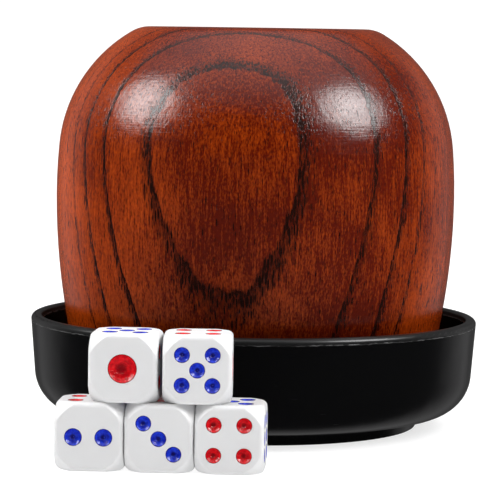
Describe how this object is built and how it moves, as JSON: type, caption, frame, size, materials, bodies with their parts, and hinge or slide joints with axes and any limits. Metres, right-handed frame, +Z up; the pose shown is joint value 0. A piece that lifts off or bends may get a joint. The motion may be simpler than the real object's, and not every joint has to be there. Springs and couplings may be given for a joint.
{
  "type": "dice cup set",
  "caption": "Turned wooden dice cup standing mouth down in a round moulded tray, with a small stack of dice in front.",
  "frame": {"origin": "centre of the tray's foot ring, on the surface that it stands on", "axes": "+Z up along the axis of the cup and tray; -Y towards the stack of dice, so the set is longest along Y; +X to the viewer's right"},
  "size_m": [0.1006, 0.1275, 0.0893],
  "materials": {
    "lacquered_wood": "reddish brown stain under clear gloss lacquer, open dark pores",
    "black_plastic": "glossy black moulded plastic",
    "felt": "short black felt",
    "die_white": "white moulded plastic, tumbled to a soft gloss",
    "pip_red": "glossy red paint",
    "pip_blue": "glossy blue paint"
  },
  "bodies": {
    "tray": {"tray": "black_plastic", "felt_pad": "felt"},
    "cup": {"cup": "lacquered_wood"},
    "die_lower_left": {"die_lower_left": "die_white", "die_lower_left_red_pips": "pip_red", "die_lower_left_blue_pips": "pip_blue"},
    "die_lower_middle": {"die_lower_middle": "die_white", "die_lower_middle_red_pips": "pip_red", "die_lower_middle_blue_pips": "pip_blue"},
    "die_lower_right": {"die_lower_right": "die_white", "die_lower_right_red_pips": "pip_red", "die_lower_right_blue_pips": "pip_blue"},
    "die_upper_left": {"die_upper_left": "die_white", "die_upper_left_red_pips": "pip_red", "die_upper_left_blue_pips": "pip_blue"},
    "die_upper_right": {"die_upper_right": "die_white", "die_upper_right_red_pips": "pip_red", "die_upper_right_blue_pips": "pip_blue"}
  },
  "joints": [
    {"name": "cup_lift", "type": "slide", "parent": "tray", "child": "cup", "axis": [0, 0, 1], "range_m": [0, 0.1]},
    {"name": "lower_left_die_slide", "type": "slide", "parent": "tray", "child": "die_lower_left", "axis": [-1, 0, 0], "range_m": [0, 0.05]},
    {"name": "lower_middle_die_slide", "type": "slide", "parent": "tray", "child": "die_lower_middle", "axis": [-0.061, -0.9981, 0], "range_m": [0, 0.05]},
    {"name": "lower_right_die_slide", "type": "slide", "parent": "tray", "child": "die_lower_right", "axis": [1, 0, 0], "range_m": [0, 0.05]},
    {"name": "upper_left_die_lift", "type": "slide", "parent": "tray", "child": "die_upper_left", "axis": [0, 0, 1], "range_m": [0, 0.06]},
    {"name": "upper_right_die_lift", "type": "slide", "parent": "tray", "child": "die_upper_right", "axis": [0, 0, 1], "range_m": [0, 0.06]}
  ]
}
